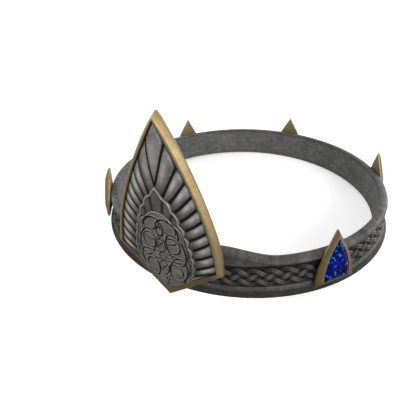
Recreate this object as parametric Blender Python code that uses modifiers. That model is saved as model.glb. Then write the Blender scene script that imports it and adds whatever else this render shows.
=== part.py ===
"""Circlet: a cast band with a raised plait, a tall feathered front plate and five set points.

Units are metres and +Z is up. The front plate faces -Y. Sizes are first worked out about the
band's own axis, with z = 0 at the band's flat foot, and the whole is then stood on the plate's tip.
"""
import math

import bmesh
import bpy
from mathutils import Vector

MM = 0.001
SEAT_GAP = 0.3 * MM

# Band, about its own axis
HEAD_RADIUS = 92.0 * MM
FOOT_RADIUS = 100.8 * MM
PANEL_FOOT_RADIUS = 98.5 * MM
PANEL_TOP_RADIUS = 94.4 * MM
RIM_RADIUS = 97.5 * MM
PANEL_FOOT_Z = 4.2 * MM
PANEL_TOP_Z = 18.6 * MM
RIM_FOOT_Z = 19.4 * MM
RIM_TOP_Z = 22.7 * MM
RIM_ROUND = 1.3 * MM
RIM_FLAT = 2.2 * MM
BAND_EDGE = 0.5 * MM
FRONT_RISE = 6.0 * MM
RISE_STARTS = math.radians(37)
RISE_ENDS = math.radians(17)

# Plait round the panel
PLAIT_UNITS = 66
PLAIT_CENTRE_Z = 11.7 * MM
PLAIT_BEND_Z = 4.2 * MM
PLAIT_CROSS_Z = 2.5 * MM
STRAND_HALF_WIDTH = 0.9 * MM
STRAND_RELIEF = 0.9 * MM
STRAND_ROOT = 0.6 * MM
BEND_FLAT = 1.2 * MM
RING_STEPS = 2 * PLAIT_UNITS

# Front plate
FIELD_PLANE = 100.9 * MM
DOME_EDGE = 100.3 * MM
DOME_SHARE = 0.75
PLATE_WALL = 2.2 * MM
PLATE_TIP_Z = -7.9 * MM
POCKET_REACH = 6.0 * MM
SHELL_COLUMNS = 8
SHELL_LEVELS = (-1.0, 3.5, 8.3, 14.0, 19.9, 27.0, 34.0, 41.0, 49.0, 57.0, 65.0, 73.0, 81.0, 88.0)

# Settings and stones
POINT_ANGLES = {
    "front_right": 54,
    "rear_right": 122,
    "rear": 180,
    "rear_left": 238,
    "front_left": 306,
}
SETTING_LEAN = math.radians(7.3)
SETTING_BACK_RADIUS = RIM_RADIUS + SEAT_GAP
SETTING_SLAB = 1.2 * MM
SETTING_CREST = 1.7 * MM
SETTING_BACK_SHARE = 0.97
STONE_TABLE = 1.1 * MM

# Hidden posts
POST_RADIUS = 1.8 * MM
POST_ACROSS = 12.0 * MM
POST_Z = 26.4 * MM

# Plate outline: half width of the silver field and of the gold border, from apex to tip, in mm
OUTLINE = (
    # field_u, field_z, gold_u, gold_z, gold_fall, back
    (0.0, 95.1, 0.0, 99.2, 2.4, 96.2),
    (1.6, 92.6, 3.5, 95.0, 2.6, 96.4),
    (4.4, 87.8, 8.0, 88.6, 2.7, 97.0),
    (10.0, 78.0, 13.8, 79.0, 2.8, 97.4),
    (15.4, 68.3, 19.0, 69.0, 2.8, 97.6),
    (19.9, 58.5, 23.7, 58.9, 2.6, 97.6),
    (23.8, 48.8, 27.6, 49.1, 2.3, 97.6),
    (26.9, 39.0, 30.9, 39.2, 2.0, 97.6),
    (29.0, 29.3, 33.0, 29.3, 1.7, 97.6),
    (30.5, 19.9, 34.1, 18.8, 0.9, 98.0),
    (15.3, 8.3, 17.1, 5.5, -0.4, 98.6),
    (0.0, -3.4, 0.0, -7.9, -0.8, 98.6),
)

# Height of the dome along its centre line above the field's edge, in mm
DOME_LINE = (
    # z, dome
    (-3.4, 1.0),
    (8.0, 2.6),
    (20.0, 3.6),
    (35.0, 4.5),
    (50.0, 4.9),
    (65.0, 4.7),
    (80.0, 2.8),
    (95.1, 0.0),
)

# Grooves between the outer feathers, right half, from the apex down, in mm
GROOVES = (
    # root_u, root_z, end_u, end_z
    (0.4, 66.0, 5.0, 85.6),
    (4.3, 60.4, 11.0, 75.7),
    (7.4, 57.0, 14.9, 68.6),
    (10.0, 52.6, 18.1, 61.9),
    (12.6, 47.9, 20.9, 55.8),
    (14.9, 43.0, 23.3, 49.6),
    (16.2, 37.0, 25.3, 43.4),
    (17.6, 31.2, 27.0, 37.6),
    (18.0, 25.2, 28.5, 31.0),
    (17.6, 18.6, 29.5, 25.0),
    (15.6, 12.6, 30.0, 19.8),
)

# Lobes of the inner tier, right half, from the top down, in mm
LOBES = (
    # inner_u, inner_z, outer_u, outer_z, tip_u, tip_z, tip_width
    (-2.9, 51.0, 2.9, 51.0, 0.0, 64.3, 0.9),
    (2.9, 50.8, 8.2, 46.8, 7.2, 57.2, 1.6),
    (7.8, 46.8, 12.4, 42.4, 12.3, 50.6, 1.6),
    (11.6, 42.6, 14.4, 37.4, 15.8, 43.6, 1.4),
    (13.4, 37.6, 14.6, 31.4, 17.4, 36.2, 1.3),
    (13.6, 31.4, 14.8, 25.4, 18.2, 29.6, 1.3),
    (13.8, 25.4, 15.0, 19.6, 18.4, 23.4, 1.3),
)

# Medallion outline, right half, from the top down, in mm
MEDALLION = (
    # u, z
    (0.0, 51.2),
    (3.2, 50.7),
    (6.2, 48.8),
    (9.2, 45.6),
    (12.2, 42.6),
    (14.2, 38.4),
    (14.8, 32.0),
    (15.0, 25.0),
    (15.0, 18.0),
    (14.4, 12.0),
    (12.6, 7.8),
    (6.3, 3.0),
    (0.0, -1.7),
)

# Pointed outlines of a setting and of its stone, right half, from the foot up, in mm
POINT = (
    # frame_u, frame_v, stone_u, stone_v, table_u, table_v
    (12.6, 4.2, 8.1, 6.6, 5.6, 8.6),
    (12.7, 8.5, 8.1, 9.8, 5.6, 10.8),
    (11.3, 14.4, 7.4, 14.2, 5.0, 14.4),
    (8.8, 20.3, 5.9, 19.4, 3.8, 18.8),
    (5.9, 26.0, 3.7, 24.8, 2.1, 23.0),
    (0.0, 36.2, 0.0, 31.4, 0.0, 27.2),
)

# Edge of the middle feather beyond its groove, in mm
APEX_FEATHER_EDGE = (
    # u, z
    (3.4, 88.6),
    (0.5, 93.4),
)

# Growing a loop from its middle: a slanted edge moves less than its corners, in mm
PLATE_MIDDLE = (0.0, 40.0)
POCKET_PLAY = 0.66
STONE_MIDDLE = (0.0, 16.0)
STONE_PLAY = 0.4

# Knot on the medallion, in mm
MEDALLION_MIDDLE_Z = 24.0
RING_U = 7.4
UPPER_RING_Z = 32.0
LOWER_RING_Z = 16.0
RING_HALVES = (4.6, 4.8)
RING_POINTS = 14
LOOP_U = 4.2
LOOP_Z = 25.5
LOOP_HALVES = (7.2, 16.5)
LOOP_POINTS = 22
LOOP_TILT = math.radians(9)

# Height of the relief on the dome, in mm
FEATHER_EDGE = 0.15
FEATHER_SHOULDER = 0.7
FEATHER_RIDGE = 0.95
FEATHER_GROOVE = 0.35
LOBE_RISE = 0.45
MEDALLION_RISE = 1.15
KNOT_RISE = 0.45
KNOT_HALF_WIDTH = 0.55
FEATHER_SPANS = 3
RELIEF_ROOT = 0.8


def interpolate(table, z):
    """Value at z of a table of (z, value) rows in rising z."""
    if z <= table[0][0]:
        return table[0][1]
    for low, high in zip(table, table[1:]):
        if z <= high[0]:
            share = (z - low[0]) / (high[0] - low[0])
            return low[1] + share * (high[1] - low[1])
    return table[-1][1]


def smooth_step(share):
    """Ease from 0 to 1."""
    share = min(1.0, max(0.0, share))
    return share * share * (3 - 2 * share)


def about_axis(radius, azimuth, z):
    """Point at an azimuth counted from the plate, +X on the right."""
    return Vector((radius * math.sin(azimuth), -radius * math.cos(azimuth), z))


def material(name, colour, metallic, roughness):
    """A Principled material."""
    made = bpy.data.materials.new(name)
    made.use_nodes = True
    shader = made.node_tree.nodes["Principled BSDF"]
    shader.inputs["Base Color"].default_value = (*colour, 1.0)
    shader.inputs["Metallic"].default_value = metallic
    shader.inputs["Roughness"].default_value = roughness
    return made


def mesh_object(name, points, faces, collection):
    """An object from points and faces, its normals pointing out."""
    mesh = bpy.data.meshes.new(name)
    mesh.from_pydata([tuple(point) for point in points], [], faces)
    shape = bmesh.new()
    shape.from_mesh(mesh)
    bmesh.ops.recalc_face_normals(shape, faces=shape.faces)
    shape.to_mesh(mesh)
    shape.free()
    made = bpy.data.objects.new(name, mesh)
    collection.objects.link(made)
    return made


def loft(rings, closed_path=False):
    """Points and faces through rings of equal count, with caps unless the path closes."""
    count = len(rings[0])
    points = [point for ring in rings for point in ring]
    faces = []
    spans = len(rings) if closed_path else len(rings) - 1
    for i in range(spans):
        here = i * count
        there = ((i + 1) % len(rings)) * count
        for j in range(count):
            k = (j + 1) % count
            faces.append((here + j, here + k, there + k, there + j))
    if not closed_path:
        faces.append(tuple(range(count)))
        faces.append(tuple(range(len(points) - count, len(points))))
    return points, faces


def as_cutter(cutter):
    """Show a cutter as a wire only."""
    cutter.hide_render = True
    cutter.display_type = "WIRE"


def add_boolean(target, cutter, operation):
    """Cut or join one object with another."""
    step = target.modifiers.new(cutter.name, "BOOLEAN")
    step.operation = operation
    step.solver = "EXACT"
    step.object = cutter


def add_union(target, collection):
    """Fuse everything in a collection onto the target."""
    step = target.modifiers.new(collection.name, "BOOLEAN")
    step.operation = "UNION"
    step.solver = "EXACT"
    step.operand_type = "COLLECTION"
    step.collection = collection


def finish(made, look, smooth_angle):
    """Material and shading."""
    made.data.materials.clear()
    made.data.materials.append(look)
    made.data.shade_smooth()
    made.data.set_sharp_from_angle(angle=math.radians(smooth_angle))


# Band

def front_rise(azimuth):
    """How far the rim is raised at an azimuth."""
    turn = abs(math.remainder(azimuth, 2 * math.pi))
    return FRONT_RISE * smooth_step((RISE_STARTS - turn) / (RISE_STARTS - RISE_ENDS))


def raised(z, azimuth):
    """Height of a point of the plain section once the front is raised."""
    share = min(1.0, max(0.0, (z - PANEL_FOOT_Z) / (RIM_TOP_Z - PANEL_FOOT_Z)))
    return z + front_rise(azimuth) * share


def panel_radius(z, azimuth):
    """Radius of the sloping panel at a height."""
    top = raised(PANEL_TOP_Z, azimuth)
    share = (z - PANEL_FOOT_Z) / (top - PANEL_FOOT_Z)
    return PANEL_FOOT_RADIUS + share * (PANEL_TOP_RADIUS - PANEL_FOOT_RADIUS)


def band_section():
    """Radius and height round the band's section, down the outer side and up the inner wall."""
    edge = BAND_EDGE
    rounding = RIM_ROUND
    return (
        (HEAD_RADIUS + edge, RIM_TOP_Z),
        (HEAD_RADIUS + RIM_FLAT, RIM_TOP_Z),
        (RIM_RADIUS - rounding, RIM_TOP_Z - 0.2 * rounding),
        (RIM_RADIUS - 0.3 * rounding, RIM_TOP_Z - 0.5 * rounding),
        (RIM_RADIUS, RIM_TOP_Z - rounding),
        (RIM_RADIUS, RIM_FOOT_Z + 0.5 * MM),
        (RIM_RADIUS - 0.5 * MM, RIM_FOOT_Z),
        (PANEL_TOP_RADIUS, PANEL_TOP_Z),
        (PANEL_FOOT_RADIUS, PANEL_FOOT_Z),
        (FOOT_RADIUS, edge),
        (FOOT_RADIUS - edge, 0.0),
        (HEAD_RADIUS + edge, 0.0),
        (HEAD_RADIUS, edge),
        (HEAD_RADIUS, RIM_TOP_Z - edge),
    )


def turned_ring(collection):
    """The plain ring: its section turned once round, then raised in front."""
    section = band_section()
    mesh = bpy.data.meshes.new("band_section")
    edges = [(i, (i + 1) % len(section)) for i in range(len(section))]
    mesh.from_pydata([(radius, 0.0, z) for radius, z in section], edges, [])
    turned = bpy.data.objects.new("band_section", mesh)
    collection.objects.link(turned)
    screw = turned.modifiers.new("turn", "SCREW")
    screw.axis = "Z"
    screw.angle = 2 * math.pi
    screw.steps = RING_STEPS
    screw.render_steps = RING_STEPS
    screw.use_merge_vertices = True
    screw.merge_threshold = 0.01 * MM
    graph = bpy.context.evaluated_depsgraph_get()
    ring_mesh = bpy.data.meshes.new_from_object(turned.evaluated_get(graph))
    bpy.data.objects.remove(turned)
    ring = bpy.data.objects.new("band", ring_mesh)
    collection.objects.link(ring)
    for point in ring_mesh.vertices:
        azimuth = math.atan2(point.co.x, -point.co.y)
        point.co.z = raised(point.co.z, azimuth)
    return ring


def plait_node(unit, across, up):
    """One point of the plait's net: sizes along and up the panel, at a unit round the band."""
    pitch = 2 * math.pi / PLAIT_UNITS
    azimuth = (unit + across / (pitch * PANEL_FOOT_RADIUS)) * pitch
    z = PLAIT_CENTRE_Z + up
    radius = panel_radius(z, azimuth)
    top = about_axis(radius + STRAND_RELIEF, azimuth, z)
    root = about_axis(radius - STRAND_ROOT, azimuth, z)
    return top, root


def plait_net(collection):
    """Four strands that cross in three rows, fused into one ring of net."""
    slope = math.atan2(PLAIT_CROSS_Z, 0.5 * 2 * math.pi * PANEL_FOOT_RADIUS / PLAIT_UNITS)
    half_across = STRAND_HALF_WIDTH / math.sin(slope)
    half_up = STRAND_HALF_WIDTH / math.cos(slope)
    points = []
    index = {}
    faces = []

    def corner(place, key, across, up):
        """Index of a corner's top point. Its root point follows it."""
        label = (place, key)
        if label not in index:
            index[label] = len(points)
            points.extend(plait_node(place, across, up))
        return index[label]

    def crossing(unit, row):
        """Left, top, right and bottom corners of the lozenge where two strands cross."""
        level = {"upper": PLAIT_CROSS_Z, "middle": 0.0, "lower": -PLAIT_CROSS_Z}[row]
        place = unit % PLAIT_UNITS + (0.5 if row == "middle" else 0.0)
        return (
            corner(place, row + "_left", -half_across, level),
            corner(place, row + "_top", 0.0, level + half_up),
            corner(place, row + "_right", half_across, level),
            corner(place, row + "_bottom", 0.0, level - half_up),
        )

    def plate(loop):
        """Top and root faces over a loop of corners."""
        faces.append(tuple(loop))
        faces.append(tuple(i + 1 for i in reversed(loop)))

    def wall(first, second):
        faces.append((first, second, second + 1, first + 1))

    def bar(first, second, third, fourth):
        """A stretch of strand: one edge from first to second, the other from fourth to third."""
        plate((first, second, third, fourth))
        wall(first, second)
        wall(third, fourth)

    for unit in range(PLAIT_UNITS):
        upper = crossing(unit, "upper")
        lower = crossing(unit, "lower")
        middle = crossing(unit, "middle")
        next_upper = crossing(unit + 1, "upper")
        next_lower = crossing(unit + 1, "lower")
        for lozenge in (upper, middle, lower):
            plate(lozenge)
        bar(upper[2], middle[1], middle[0], upper[3])
        bar(lower[1], middle[0], middle[3], lower[2])
        bar(middle[1], next_upper[0], next_upper[3], middle[2])
        bar(middle[2], next_lower[1], next_lower[0], middle[3])
        place = unit + 0.5
        for side, here, there, edge in ((1, upper, next_upper, 1), (-1, lower, next_lower, 3)):
            outer = PLAIT_BEND_Z + STRAND_HALF_WIDTH
            inner = PLAIT_BEND_Z - STRAND_HALF_WIDTH
            bend = [
                corner(place, ("bend", side, "out", 0), -BEND_FLAT, side * outer),
                corner(place, ("bend", side, "out", 1), BEND_FLAT, side * outer),
                corner(place, ("bend", side, "in", 1), BEND_FLAT, side * inner),
                corner(place, ("bend", side, "in", 0), -BEND_FLAT, side * inner),
            ]
            bar(here[edge], bend[0], bend[3], here[2])
            bar(bend[0], bend[1], bend[2], bend[3])
            bar(bend[1], there[edge], there[0], bend[2])
    return mesh_object("plait_net", points, faces, collection)


def grown_loop(loop, centre, growth):
    """A loop of (u, z) pushed out from its centre."""
    grown = []
    for place in loop:
        out = Vector(place) - Vector(centre)
        grown.append(Vector(centre) + out * (1 + growth / out.length))
    return grown


def plate_pocket(collection):
    """The plate's outline grown by the seat gap, to let the plate into the band's foot."""
    loop = [(row[2], row[3]) for row in OUTLINE]
    loop += [(-u, z) for u, z in reversed(loop[1:-1])]
    loop = grown_loop(loop, PLATE_MIDDLE, POCKET_PLAY)
    rings = []
    for depth in (OUTLINE[-1][5] * MM - SEAT_GAP, FOOT_RADIUS + POCKET_REACH):
        rings.append([Vector((place.x * MM, -depth, place.y * MM)) for place in loop])
    points, faces = loft(rings)
    pocket = mesh_object("plate_pocket", points, faces, collection)
    as_cutter(pocket)
    return pocket


# Front plate

def field_half_width(z):
    """Half width of the silver field at a height in mm."""
    rows = sorted((row[1], row[0]) for row in OUTLINE)
    return interpolate(rows, z)


def dome(u, z):
    """How far forward the plate's dome lies, for u and z in mm."""
    half = max(field_half_width(z), 0.5)
    share = min(1.0, abs(u) / half)
    return DOME_EDGE + DOME_SHARE * interpolate(DOME_LINE, z) * MM * (1 - share * share)


def on_dome(u, z, height):
    """Point of the relief, all in mm."""
    return Vector((u * MM, -dome(u, z) - height * MM, z * MM))


def plate_shell(collection):
    """The domed shell that carries the relief."""
    points = [on_dome(0.0, OUTLINE[-1][1], 0.0)]
    for z in SHELL_LEVELS:
        half = field_half_width(z)
        for i in range(SHELL_COLUMNS + 1):
            points.append(on_dome(half * (2 * i / SHELL_COLUMNS - 1), z, 0.0))
    points.append(on_dome(0.0, OUTLINE[0][1], 0.0))
    faces = []
    width = SHELL_COLUMNS + 1
    for i in range(SHELL_COLUMNS):
        faces.append((0, 1 + i, 2 + i))
    for row in range(len(SHELL_LEVELS) - 1):
        here = 1 + row * width
        for i in range(SHELL_COLUMNS):
            faces.append((here + i, here + width + i, here + width + i + 1, here + i + 1))
    last = 1 + (len(SHELL_LEVELS) - 1) * width
    for i in range(SHELL_COLUMNS):
        faces.append((last + i, len(points) - 1, last + i + 1))
    mesh = bpy.data.meshes.new("front_plate")
    mesh.from_pydata([tuple(point) for point in points], [], faces)
    shell = bpy.data.objects.new("front_plate", mesh)
    collection.objects.link(shell)
    facing = sum((face.normal.y for face in mesh.polygons), 0.0)
    if facing > 0:
        mesh.flip_normals()
    wall = shell.modifiers.new("wall", "SOLIDIFY")
    wall.thickness = PLATE_WALL
    wall.offset = -1.0
    wall.use_even_offset = False
    return shell


def blade(name, stations, collection):
    """One ridged feather through stations of its left and right edge, in mm."""
    rings = []
    for left, right in stations:
        middle = (left + right) / 2
        reach = (right - left) / 2
        inset = max(0.2, 1 - 0.5 * FEATHER_GROOVE / max(reach.length, 0.4))
        ring = []
        for share, height in (
            (-1.0, FEATHER_EDGE),
            (-0.55, FEATHER_SHOULDER),
            (0.0, FEATHER_RIDGE),
            (0.55, FEATHER_SHOULDER),
            (1.0, FEATHER_EDGE),
            (1.0, -RELIEF_ROOT),
            (-1.0, -RELIEF_ROOT),
        ):
            place = middle + reach * share * inset
            ring.append(on_dome(place.x, place.y, height))
        rings.append(ring)
    points, faces = loft(rings)
    return mesh_object(name, points, faces, collection)


def outer_feathers(collection):
    """The outer tier: the middle feather up to the apex, and ten a side between the grooves."""
    root_u, root_z, end_u, end_z = GROOVES[0]
    edge = ((root_u, root_z), ((root_u + end_u) / 2, (root_z + end_z) / 2), (end_u, end_z))
    edge += APEX_FEATHER_EDGE
    blade("feather_middle", [(Vector((-u, z)), Vector((u, z))) for u, z in edge], collection)
    for side in (1, -1):
        for i, (above, below) in enumerate(zip(GROOVES, GROOVES[1:])):
            low_root, high_root = Vector((side * below[0], below[1])), Vector((side * above[0], above[1]))
            low_end, high_end = Vector((side * below[2], below[3])), Vector((side * above[2], above[3]))
            stations = []
            for step in range(FEATHER_SPANS + 1):
                along = step / FEATHER_SPANS
                stations.append((low_root.lerp(low_end, along), high_root.lerp(high_end, along)))
            blade(f"feather_{side}_{i}", stations, collection)


def inner_feathers(collection):
    """The inner tier: short lobes that overlap the roots of the outer feathers."""
    for i, (inner_u, inner_z, outer_u, outer_z, tip_u, tip_z, tip_width) in enumerate(LOBES):
        for side in (1,) if i == 0 else (1, -1):
            root_a = Vector((side * inner_u, inner_z))
            root_b = Vector((side * outer_u, outer_z))
            tip = Vector((side * tip_u, tip_z))
            across = (root_b - root_a).normalized() * tip_width
            middle = (root_a + root_b) / 2
            shoulder = middle.lerp(tip, 0.62)
            wide = (root_b - root_a) * 0.53
            rings = []
            for centre, reach in ((middle, (root_b - root_a) / 2), (shoulder, wide), (tip, across / 2)):
                ring = []
                for share, height in ((-1.0, 0.25), (0.0, 0.6), (1.0, 0.25)):
                    place = centre + reach * share
                    ring.append(on_dome(place.x, place.y, FEATHER_RIDGE + LOBE_RISE * height))
                for share in (1.0, -1.0):
                    place = centre + reach * share
                    ring.append(on_dome(place.x, place.y, -RELIEF_ROOT))
                rings.append(ring)
            points, faces = loft(rings)
            mesh_object(f"lobe_{side}_{i}", points, faces, collection)


def medallion(collection):
    """The raised field that the knot lies on."""
    loop = list(MEDALLION) + [(-u, z) for u, z in reversed(MEDALLION[1:-1])]
    points = []
    count = len(loop)
    for height in (MEDALLION_RISE, -RELIEF_ROOT):
        for scale in (1.0, 0.6):
            for u, z in loop:
                scaled_z = MEDALLION_MIDDLE_Z + (z - MEDALLION_MIDDLE_Z) * scale
                points.append(on_dome(u * scale, scaled_z, height))
        points.append(on_dome(0.0, MEDALLION_MIDDLE_Z, height))
    faces = []
    layer = 2 * count + 1
    for start in (0, layer):
        for i in range(count):
            k = (i + 1) % count
            faces.append((start + i, start + k, start + count + k, start + count + i))
            faces.append((start + count + i, start + count + k, start + 2 * count))
    for i in range(count):
        k = (i + 1) % count
        faces.append((i, k, layer + k, layer + i))
    return mesh_object("medallion", points, faces, collection)


def knot_line(name, path, collection):
    """A closed raised strand of the knot, along a path of (u, z) in mm."""
    rings = []
    count = len(path)
    for i in range(count):
        here = Vector(path[i])
        ahead = Vector(path[(i + 1) % count])
        behind = Vector(path[i - 1])
        along = (ahead - behind).normalized()
        across = Vector((-along.y, along.x))
        ring = []
        for share, height in ((-1, -0.4), (-0.45, KNOT_RISE), (0.45, KNOT_RISE), (1, -0.4)):
            place = here + across * share * KNOT_HALF_WIDTH
            ring.append(on_dome(place.x, place.y, MEDALLION_RISE + height))
        rings.append(ring)
    points, faces = loft(rings, closed_path=True)
    return mesh_object(name, points, faces, collection)


def ellipse(centre_u, centre_z, half_u, half_z, count, tilt=0.0):
    """Points round an ellipse, turned by tilt."""
    path = []
    for i in range(count):
        turn = 2 * math.pi * i / count
        across = half_u * math.cos(turn)
        up = half_z * math.sin(turn)
        path.append((
            centre_u + across * math.cos(tilt) - up * math.sin(tilt),
            centre_z + across * math.sin(tilt) + up * math.cos(tilt),
        ))
    return path


def knot(collections):
    """Rings and long loops that cross each other, on the medallion."""
    for side in (1, -1):
        for name, z in (("upper_ring", UPPER_RING_Z), ("lower_ring", LOWER_RING_Z)):
            ring = ellipse(side * RING_U, z, *RING_HALVES, RING_POINTS)
            knot_line(f"{name}_{side}", ring, collections[0])
    for side, collection in ((1, collections[1]), (-1, collections[2])):
        loop = ellipse(side * LOOP_U, LOOP_Z, *LOOP_HALVES, LOOP_POINTS, side * LOOP_TILT)
        knot_line(f"long_loop_{side}", loop, collection)


# Border, settings, stones and posts

def plate_border(collection):
    """The gold border: a rounded section carried round the plate's outline."""
    stations = list(OUTLINE)
    stations += [(-row[0], row[1], -row[2], *row[3:]) for row in reversed(OUTLINE[1:-1])]
    front = FIELD_PLANE / MM
    rings = []
    for field_u, field_z, gold_u, gold_z, fall, back in stations:
        inner = Vector((field_u, field_z))
        reach = Vector((gold_u, gold_z)) - inner
        gap = SEAT_GAP / MM / reach.length
        ring = []
        for share, depth in (
            (gap, back),
            (gap, front - 0.1),
            (0.28, front + 0.45),
            (0.6, front + 0.1 - 0.3 * fall),
            (0.88, front - 0.75 * fall),
            (1.0, front - 0.2 - fall),
            (0.94, back),
        ):
            place = inner + reach * share
            ring.append(Vector((place.x * MM, -depth * MM, place.y * MM)))
        rings.append(ring)
    points, faces = loft(rings, closed_path=True)
    return mesh_object("plate_border", points, faces, collection)


def point_loop(columns):
    """Loop of one outline of the settings' table, from the foot round the tip."""
    right = [(row[columns[0]], row[columns[1]]) for row in POINT]
    return right + [(-u, v) for u, v in reversed(right[:-1])]


def on_setting(u, v, off, azimuth):
    """Point on a setting's leaning plane: across, up and out, in mm."""
    out = Vector((math.sin(azimuth), -math.cos(azimuth), 0.0))
    across = Vector((math.cos(azimuth), math.sin(azimuth), 0.0))
    lean_up = Vector((0.0, 0.0, math.cos(SETTING_LEAN))) - out * math.sin(SETTING_LEAN)
    lean_out = out * math.cos(SETTING_LEAN) + Vector((0.0, 0.0, math.sin(SETTING_LEAN)))
    rim_face_top = RIM_TOP_Z - RIM_ROUND
    back_foot = out * (SETTING_BACK_RADIUS + rim_face_top * math.tan(SETTING_LEAN))
    return back_foot + across * u * MM + lean_up * v * MM + lean_out * (SETTING_SLAB + off * MM)


def setting(name, azimuth, collection):
    """A pointed gold frame with a sunk bed for its stone."""
    frame = point_loop((0, 1))
    bed = grown_loop(point_loop((2, 3)), STONE_MIDDLE, STONE_PLAY)
    crest = SETTING_CREST / MM
    rings = [
        [on_setting(u * SETTING_BACK_SHARE, v, -SETTING_SLAB / MM, azimuth) for u, v in frame],
        [on_setting(u, v, 0.0, azimuth) for u, v in frame],
        [on_setting(u, v, crest, azimuth) for u, v in bed],
        [on_setting(u, v, 0.0, azimuth) for u, v in bed],
    ]
    points, faces = loft(rings)
    return mesh_object(name, points, faces, collection)


def stone(name, azimuth, collection):
    """A cut stone: a girdle, a row of facets and a table."""
    girdle = point_loop((2, 3))
    table = point_loop((4, 5))
    crest = SETTING_CREST / MM
    rings = [
        [on_setting(u, v, SEAT_GAP / MM, azimuth) for u, v in girdle],
        [on_setting(u, v, crest, azimuth) for u, v in girdle],
        [on_setting(u, v, crest + STONE_TABLE / MM, azimuth) for u, v in table],
    ]
    points, faces = loft(rings)
    return mesh_object(name, points, faces, collection)


def post(name, side, collection):
    """A plain hidden post from the rim to the back of the plate."""
    rim_face = math.sqrt(RIM_RADIUS ** 2 - (POST_ACROSS - POST_RADIUS) ** 2)
    near = rim_face + SEAT_GAP
    edge = (POST_ACROSS + POST_RADIUS) / MM
    far = dome(edge, POST_Z / MM) - PLATE_WALL - SEAT_GAP
    bpy.ops.mesh.primitive_cylinder_add(
        vertices=12,
        radius=POST_RADIUS,
        depth=far - near,
        location=(side * POST_ACROSS, -(near + far) / 2, POST_Z),
        rotation=(math.radians(90), 0.0, 0.0),
    )
    made = bpy.context.object
    made.name = name
    made.data.name = name
    for home in list(made.users_collection):
        home.objects.unlink(made)
    collection.objects.link(made)
    return made


def stand_on_tip(parts, cutters):
    """Set the whole down on its lowest point, centred front to back."""
    graph = bpy.context.evaluated_depsgraph_get()
    reach = [point.co.y for made in parts.objects for point in made.evaluated_get(graph).data.vertices]
    origin = bpy.data.objects.new("circlet_origin", None)
    origin.location = (0.0, -(min(reach) + max(reach)) / 2, -PLATE_TIP_Z)
    for made in list(parts.objects) + list(cutters.all_objects):
        made.parent = origin
    parts.objects.link(origin)


def main():
    for old in list(bpy.data.objects):
        bpy.data.objects.remove(old)
    scene = bpy.context.scene.collection
    parts = bpy.data.collections.new("circlet")
    cutters = bpy.data.collections.new("cutters")
    scene.children.link(parts)
    scene.children.link(cutters)
    silver = material("antiqued_silver", (0.36, 0.35, 0.34), 1.0, 0.38)
    gold = material("satin_gold", (0.62, 0.46, 0.22), 1.0, 0.35)
    blue = material("blue_stone", (0.02, 0.03, 0.35), 0.0, 0.12)

    band = turned_ring(parts)
    net = plait_net(cutters)
    as_cutter(net)
    add_boolean(band, net, "UNION")
    add_boolean(band, plate_pocket(cutters), "DIFFERENCE")
    finish(band, silver, 40)

    shell = plate_shell(parts)
    reliefs = []
    for name in ("outer_tier", "inner_tier", "medallion_field", "rings", "right_loop", "left_loop"):
        relief = bpy.data.collections.new(name)
        cutters.children.link(relief)
        reliefs.append(relief)
    outer_feathers(reliefs[0])
    inner_feathers(reliefs[1])
    medallion(reliefs[2])
    knot(reliefs[3:])
    for relief in reliefs:
        for made in relief.objects:
            as_cutter(made)
        add_union(shell, relief)
    finish(shell, silver, 40)

    finish(plate_border(parts), gold, 30)
    for place, degrees in POINT_ANGLES.items():
        azimuth = math.radians(degrees)
        finish(setting("setting_" + place, azimuth, parts), gold, 30)
        finish(stone("stone_" + place, azimuth, parts), blue, 10)
    finish(post("plate_post_right", 1, parts), silver, 30)
    finish(post("plate_post_left", -1, parts), silver, 30)

    stand_on_tip(parts, cutters)


main()
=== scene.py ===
"""Cast circlet: woven plait, feathered front plate, gold border, pointed gold settings, blue stones.

Sizes in the tables are millimetres about the band's own axis, with z = 0 at the band's flat foot.
"""
import math

import bpy
import numpy as np
from mathutils import Matrix, Vector

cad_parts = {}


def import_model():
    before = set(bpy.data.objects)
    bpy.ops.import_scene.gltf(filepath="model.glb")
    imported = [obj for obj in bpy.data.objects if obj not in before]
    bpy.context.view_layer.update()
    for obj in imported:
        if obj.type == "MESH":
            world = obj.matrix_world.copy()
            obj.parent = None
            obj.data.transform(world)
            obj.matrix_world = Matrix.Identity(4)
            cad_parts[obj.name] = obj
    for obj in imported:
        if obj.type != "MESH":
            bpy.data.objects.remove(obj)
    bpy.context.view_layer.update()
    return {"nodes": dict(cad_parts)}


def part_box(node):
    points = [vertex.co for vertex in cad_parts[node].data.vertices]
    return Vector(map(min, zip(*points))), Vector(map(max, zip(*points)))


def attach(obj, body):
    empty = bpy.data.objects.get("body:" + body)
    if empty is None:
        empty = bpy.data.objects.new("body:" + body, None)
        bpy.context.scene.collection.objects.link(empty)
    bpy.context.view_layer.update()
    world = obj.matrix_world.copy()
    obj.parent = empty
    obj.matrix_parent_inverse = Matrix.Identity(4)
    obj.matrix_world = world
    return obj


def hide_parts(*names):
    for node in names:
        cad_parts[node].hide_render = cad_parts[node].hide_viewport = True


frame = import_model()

band_low, band_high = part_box("band")

MM = 0.001
FOOT_RADIUS = 100.8
RIM_RADIUS = 97.5
AXIS_Y = band_high.y - FOOT_RADIUS * MM
FOOT_Z = band_low.z
AXIS_FOOT = (0.0, AXIS_Y, FOOT_Z)

# Camera, as fitted to the photograph: its turn, fall and roll in degrees, its place in rim radii about
# the band's axis at its foot, and its focal length and frame in pixels
CAMERA_ANGLES = (30.32, 32.97, -1.45)
CAMERA_PLACE = (0.999, -2.254, 1.512)
FOCAL_PIXELS = 363.0
FRAME_PIXELS = 420.0
SENSOR_WIDTH = 36.0

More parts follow.
